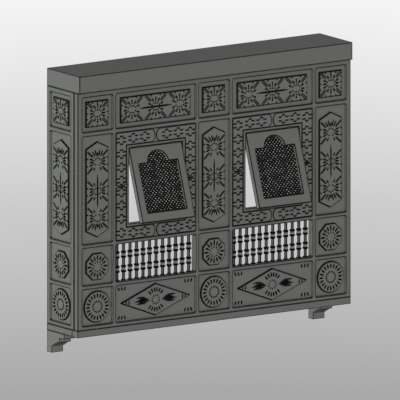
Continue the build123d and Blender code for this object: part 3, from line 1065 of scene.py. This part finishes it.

# %% [markdown]
# ## The balusters
# A baluster is turned on a lathe, so one outline spun round an axis gives all of it: a
# flared foot, a plain shaft, and two pairs of sharp collars with a bead between each
# pair.  The collars and four flutes up the shaft get the near-black finish of the cuts,
# as painted shade lines.  The beads get a lighter paint of their own, as painted light.

# %% Balusters
turning_steps = 32
shaft_radius = 14.5
flute_steps, flute_faces = (3, 4), (3, 4, 5)                 # of 8 in a quarter turn
flute_depth = 3.0
flute_turn = radians(236)
turned_reach = 3.0                       # how far the painted shade line spreads on turned timber
collar_pairs = (-66.5, 66.5)
# a lighter paint for the beads: painted light
lit_bead_dark, lit_bead_light = "#7c7e7a", "#888a86"
shaft, collar, round_bead = range(3)     # the finishes of an outline
foot_outline = [(0, 25.0, collar), (5, 25.0, collar), (9, 18.0, shaft),
                (14, shaft_radius, shaft)]                   # height, radius, finish
pair_outline = [(-34, shaft_radius, collar), (-31, 23.0, collar), (-28, 25.0, collar),
                (-17, 25.0, collar), (-14, 23.0, collar), (-12, 15.0, round_bead),
                (-7, 20.0, round_bead), (0, 22.0, round_bead), (7, 20.0, round_bead),
                (12, 15.0, collar), (14, 23.0, collar), (17, 25.0, collar),
                (28, 25.0, collar), (31, 23.0, collar), (34, shaft_radius, shaft)]
head_outline = [(-6, shaft_radius, collar), (-5, 20.0, collar), (0, 20.0, collar)]


def turned(body, foot, outline):
    """Spin an outline of (height, radius, finish) in millimetres round an upright axis."""
    rings, quarter = [], turning_steps // 4
    for height, radius, _ in outline:
        ring = []
        for step in range(turning_steps):
            in_flute = radius == shaft_radius and step % quarter in flute_steps
            r = (radius - flute_depth * in_flute) * MM
            angle = flute_turn + 2 * pi * step / turning_steps
            ring.append(body.verts.new(foot + Vector((r * cos(angle), r * sin(angle),
                                                      height * MM))))
        rings.append(ring)
    for lower, upper, start, end in zip(rings, rings[1:], outline, outline[1:]):
        on_shaft = start[1] == end[1] == shaft_radius
        for step in range(turning_steps):
            band = body.faces.new([lower[step - 1], lower[step], upper[step], upper[step - 1]])
            fluted = on_shaft and step % quarter in flute_faces
            # collars and flutes take the near-black finish: painted shade lines
            band.material_index = collar if fluted else start[2]
    body.faces.new(rings[0][::-1])
    body.faces.new(rings[-1])


def moved_up(outline, lift):
    """An outline shifted up by so much."""
    return [(height + lift, radius, finish) for height, radius, finish in outline]


turned_timber = painted_timber("oil_painted_turned_timber", 2, paint_colour, paint_light,
                               reach=turned_reach * MM)
lit_turned_bead = painted_timber("oil_painted_turned_beads_painted_light", 2, lit_bead_dark, lit_bead_light,
                             reach=None)
for side in ("left", "right"):
    body = bmesh.new()
    for low, high in solids_of(f"balusters_{side}"):
        foot = Vector(((low.x + high.x) / 2, (low.y + high.y) / 2, low.z))
        height = (high.z - low.z) / MM
        outline = list(foot_outline)
        for middle in collar_pairs:
            outline += moved_up(pair_outline, height / 2 + middle)
        turned(body, foot, outline + moved_up(head_outline, height))
    name = f"balusters_{side}_turned"
    mesh = mesh_of(name, body, (turned_timber, shaded_stained_cut, lit_turned_bead))
    finished_piece(name, mesh, [f"balusters_{side}"])

# %% [markdown]
# ## Beads and bars
# The lattice of a sash is the piece that gives a mashrabiya its name and its shade:
# hundreds of turned beads, each joined to its neighbours by short necks, before crossed
# laths.  Beads, necks and laths are all made from rings of corners with a skin between
# them, so a few small functions build the whole lattice.

# %% Turned beads
bead_radius, bead_sides, bead_rings = 11.5, 12, 7
neck_radius, neck_sides = 4.5, 5
lath_width, lath_thickness, lath_sides = 21.0, 6.0, 4


def ring_of(body, face, place, sides, across, out=None, way=(0, 1)):
    """Corners round a place (u, v, w) on the sash, square to a way along it."""
    u, v, w = place
    turns = [2 * pi * k / sides for k in range(sides)]
    return corners_on(body, face, [(u + way[1] * across * cos(turn),
                                    v - way[0] * across * cos(turn),
                                    w + (out or across) * sin(turn)) for turn in turns])


def skin(body, lower, upper):
    """A band of faces between two rings of as many corners."""
    for k in range(len(lower)):
        body.faces.new([lower[k - 1], lower[k], upper[k], upper[k - 1]])


def bead(body, face, place):
    """One round bead, its poles along the sash."""
    u, v, w = place
    lifts = [pi * ring / bead_rings for ring in range(1, bead_rings)]
    rings = [ring_of(body, face, (u, v - bead_radius * cos(lift), w), bead_sides,
                     bead_radius * sin(lift)) for lift in lifts]
    poles = corners_on(body, face, [(u, v + side * bead_radius, w) for side in (-1, 1)])
    for lower, upper in zip(rings, rings[1:]):
        skin(body, lower, upper)
    for k in range(bead_sides):
        body.faces.new([poles[0], rings[0][k], rings[0][k - 1]])
        body.faces.new([poles[1], rings[-1][k - 1], rings[-1][k]])


def bar(body, face, start, end, sides, across, out=None):
    """A straight bar from one place to another, round or, with out given, flat."""
    length = hypot(end[0] - start[0], end[1] - start[1])
    way = ((end[0] - start[0]) / length, (end[1] - start[1]) / length)
    rings = [ring_of(body, face, place, sides, across, out, way) for place in (start, end)]
    skin(body, *rings)
    body.faces.new(rings[0][::-1])
    body.faces.new(rings[1])


print("a bead is", 2 * bead_radius, "mm across")

# %% [markdown]
# ## The sash lattices
# The beads stand on every other place of a square grid inside the arched light.  The
# laths behind them leave only pinholes, so the room stays dark.  The crowns of the beads
# are painted near white, as a painted highlight, and nearly half of them are worn to mid
# grey at random; the rest of each bead is painted near black, as painted shade.  The beads
# could be instances, but one joined mesh is as light at this count and exports as it is.

# %% Sash lattices
sash_tilt = radians(18.9)
sash_up = Vector((0, sin(sash_tilt), cos(sash_tilt)))
sash_out = Vector((0, -cos(sash_tilt), sin(sash_tilt)))
side_rail, bottom_rail, shoulder = 72.0, 87.0, 543.0
arch_radius, arch_drop = 114.0, 8.0
bead_pitch = 37.0
bead_depth, lath_depth = -3.0, -20.0     # out from the lattice's middle
tenon = 20.0                             # how far a bar may run into the sash frame
crown_slope = 0.88                       # how squarely a crown looks out of the sash
crown_reach = 1.0
# near-white paint on the bead crowns: painted highlight, with random worn spots
crown_highlight_dark, crown_highlight_light, crown_worn = "#e6e8e4", "#f6f8f4", "#7a7c78"
# near-black paint on the rest of the beads: painted shade
bead_shade, bead_shade_light = "#1a1b19", "#272826"


def extent(name, axis):
    """How far a node reaches along an axis: the lowest and the highest place."""
    reach = [vertex.co.dot(axis) for vertex in nodes[name].data.vertices]
    return min(reach), max(reach)


def in_light(u, v, half, margin):
    """Whether a place, from the middle of the sash's foot, lies inside the arched light."""
    in_field = abs(u) < half - margin and bottom_rail + margin < v < shoulder - margin
    return in_field or hypot(u, v - shoulder + arch_drop) < arch_radius - margin


shaded_bead = painted_timber("turned_beads_painted_shade", 2, bead_shade, bead_shade_light,
                              reach=None, gloss=stain_gloss)
crown_highlight = painted_timber("bead_crowns_painted_highlight", 2, crown_highlight_dark, crown_highlight_light,
                             reach=crown_reach * MM, worn_paint=crown_worn)
for side in ("left", "right"):
    frame_node, lattice_node = f"sash_frame_{side}", f"sash_lattice_{side}"
    left, right = extent(frame_node, Vector((1, 0, 0)))
    foot = extent(frame_node, sash_up)[0]
    depth = sum(extent(lattice_node, sash_out)) / 2
    origin = Vector(((left + right) / 2, 0, 0)) + sash_up * foot + sash_out * depth
    face = standing(Vector((1, 0, 0)), sash_up, sash_out, origin)
    half = (right - left) / 2 / MM - side_rail
    columns = round(2 * half / bead_pitch)
    step = half / columns                # half a pitch; beads stand on every other place
    rows = int((shoulder + arch_radius - bottom_rail) / step)
    places = {(i, j): (-half + i * step, bottom_rail + j * step)
              for i in range(-1, 2 * columns + 2) for j in range(-1, rows + 2) if (i + j) % 2 == 0}
    places = {cell: place for cell, place in places.items() if in_light(*place, half, -tenon)}
    body = bmesh.new()
    beads = 0
    for (i, j), place in places.items():
        if in_light(*place, half, -bead_radius / 2):
            bead(body, face, (*place, bead_depth))
            beads += 1
        for beside in ((i + 1, j + 1), (i + 1, j - 1)):
            if beside in places:
                ends = place, places[beside]
                bar(body, face, *((*end, bead_depth) for end in ends), neck_sides, neck_radius)
                bar(body, face, *((*end, lath_depth) for end in ends), lath_sides,
                    lath_width / 2, lath_thickness / 2)
    name = f"sash_lattice_{side}_turned"
    mesh = flat_mesh(name, body, (shaded_bead, crown_highlight))
    crown_plane = face.translation.dot(sash_out) + (bead_depth + neck_radius) * MM
    for polygon in mesh.polygons:
        outward = polygon.normal.dot(sash_out) > crown_slope
        # the crowns take the painted highlight, the rest of each bead the painted shade
        polygon.material_index = int(outward and polygon.center.dot(sash_out) > crown_plane)
    finished_piece(name, mesh, [lattice_node])
    print("it has", beads, "beads")

# %% [markdown]
# ## The pieces that stay as they are
# The casings, sash frames, base beams, floor boards, brackets and hinges already have
# their true shape, so they only get their finish.  The grain follows the longest way of
# each piece.

# %% Finishes of the other nodes
for name, material in [("base_front_beam", painted_beam), ("base_side_beams", painted_y),
                       ("wall_ledger", painted_x), ("floor_boards", painted_y)]:
    nodes[name].material_slots[0].material = material
for side in ("left", "right"):
    for name, material in [("bracket", painted_bracket), ("window_casing", painted_casing),
                           ("sash_frame", painted_sash), ("sash_hinges", blackened_iron)]:
        nodes[f"{name}_{side}"].material_slots[0].material = material

# %% [markdown]
# ## The stage
# The bay hangs a storey above the ground, so the floor lies well below it and its shadow
# is soft.  Round both stands one seamless wall, like the paper sweep of a studio: pale
# above and a little darker below.  The wall is only seen; it neither lights the bay nor
# shades it.

# %% Stage
floor_height = -2.8
wall_radius = 9.0
wall_top = 8.0
wall_sides = 96
pale, mid, deep = "#f7f7f7", "#cdcdcd", "#a8a8a8"
tone_heights = (-2.5, -0.71, 1.3)
floor_colour = "#d6d6d6"


def disc_points(radius, height):
    """Points on a level circle round the origin."""
    return [Vector((radius * cos(2 * pi * k / wall_sides), radius * sin(2 * pi * k / wall_sides),
                    height)) for k in range(wall_sides)]


def stage_piece(name, rings, material):
    """A surface through rings of points, or one flat disc, that the bay doesn't own."""
    body = bmesh.new()
    circles = [[body.verts.new(point) for point in ring] for ring in rings]
    if len(circles) == 1:
        body.faces.new(circles[0])
    for lower, upper in zip(circles, circles[1:]):
        for k in range(wall_sides):
            body.faces.new([lower[k - 1], lower[k], upper[k], upper[k - 1]]).smooth = True
    piece = placed(name, mesh_of(name, body, [material]))
    return piece


paper, tree = new_tree("paper_sweep")
height = add_node(tree, "SeparateXYZ", {"Vector": add_node(tree, "NewGeometry").outputs["Position"]})
share = add_node(tree, "MapRange", {"Value": height.outputs["Z"], "From Min": tone_heights[0],
                                    "From Max": tone_heights[2]})
ramp = add_node(tree, "ValToRGB", {"Fac": share.outputs["Result"]})
stops = ramp.color_ramp.elements
stops[0].color, stops[1].color = linear(deep), linear(pale)
stops.new((tone_heights[1] - tone_heights[0]) / (tone_heights[2] - tone_heights[0])).color = linear(mid)
glow = add_node(tree, "Emission", {"Color": ramp.outputs["Color"]})
add_node(tree, "OutputMaterial", {"Surface": glow.outputs["Emission"]})
wall = stage_piece("paper_wall", [disc_points(wall_radius, floor_height),
                                  disc_points(wall_radius, wall_top)], paper)
wall.visible_diffuse = wall.visible_shadow = False

ground, tree = new_tree("plain_pale_floor")
chalk = add_node(tree, "BsdfDiffuse", {"Color": linear(floor_colour)})
clear = add_node(tree, "BsdfTransparent")
from_below = add_node(tree, "NewGeometry").outputs["Backfacing"]
sides = add_node(tree, "MixShader", {0: from_below, 1: chalk.outputs["BSDF"],
                                     2: clear.outputs["BSDF"]})
add_node(tree, "OutputMaterial", {"Surface": sides.outputs["Shader"]})
floor = stage_piece("floor", [disc_points(wall_radius, floor_height)], ground)
floor.visible_diffuse = False
print("floor at", floor_height, "m")

# %% [markdown]
# ## Light
# Painted joinery reads best in soft light from all round, a little stronger from one
# side so that the faces of the bay differ in tone.  A large lamp could do that, but a
# graded sky is softer still: brightest low on the left and dimmest high on the right.
# Its strength in each direction is worked out from the angle to the brightest side.  The
# camera, a mirror and a pane of glass don't see that sky but the plain pale backdrop.

# %% Sky
sky_level = 1.0
sky_swing = 0.776
bright_side = Vector((-0.773, 0.0, -0.634))

world = bpy.data.worlds.new("soft_sky")
bpy.context.scene.world = world
world.use_nodes = True
tree = world.node_tree
tree.nodes.clear()
direction = add_node(tree, "TexCoord").outputs["Generated"]
toward = add_node(tree, "VectorMath", {0: direction, 1: bright_side}, operation="DOT_PRODUCT")
strength = add_node(tree, "Math", {0: toward.outputs["Value"], 1: sky_swing, 2: sky_level},
                    operation="MULTIPLY_ADD")
lit = add_node(tree, "Background", {"Strength": strength.outputs["Value"]})
seen = add_node(tree, "Background", {"Color": linear(pale)})
ray = add_node(tree, "LightPath").outputs
mirrored_ray = add_node(tree, "Math", {0: ray["Is Glossy Ray"], 1: ray["Is Transmission Ray"]},
                        operation="MAXIMUM")
looking = add_node(tree, "Math", {0: ray["Is Camera Ray"], 1: mirrored_ray.outputs["Value"]},
                   operation="MAXIMUM")
both = add_node(tree, "MixShader", {0: looking.outputs["Value"], 1: lit.outputs["Background"],
                                    2: seen.outputs["Background"]})
add_node(tree, "OutputWorld", {"Surface": both.outputs["Shader"]})
print("sky strength from", round(sky_level - sky_swing, 2), "to", round(sky_level + sky_swing, 2))
